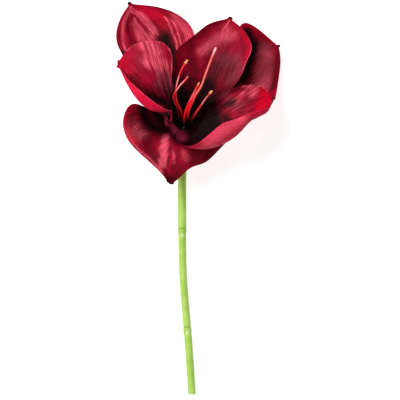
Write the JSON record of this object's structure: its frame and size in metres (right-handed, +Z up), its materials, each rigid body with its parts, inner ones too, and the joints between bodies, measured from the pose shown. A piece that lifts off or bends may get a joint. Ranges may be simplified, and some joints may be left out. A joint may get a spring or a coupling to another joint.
{
  "type": "amaryllis stem",
  "caption": "Open red amaryllis bloom with six broad tepals, stamens and a style, on a bare green stem with a clean cut end, lying face up.",
  "frame": {"origin": "under the centre of the bounding box, on the surface that the flower lies on", "axes": "+Y from the stem's cut end towards the bloom, +Z up, the way the bloom faces, +X to the right seen from above"},
  "size_m": [0.1989, 0.4735, 0.1122],
  "materials": {
    "petal": "satin, dark red with paler veins",
    "stem": "smooth light green",
    "stamens": "satin red with orange-yellow anthers",
    "pistil": "satin red turning pale pink towards the tip"
  },
  "bodies": {
    "root": {"stem": "stem", "outer_left": "petal", "outer_right": "petal", "outer_lower": "petal", "inner_top": "petal", "inner_left": "petal", "inner_right": "petal", "stamens": "stamens", "pistil": "pistil"}
  },
  "joints": []
}
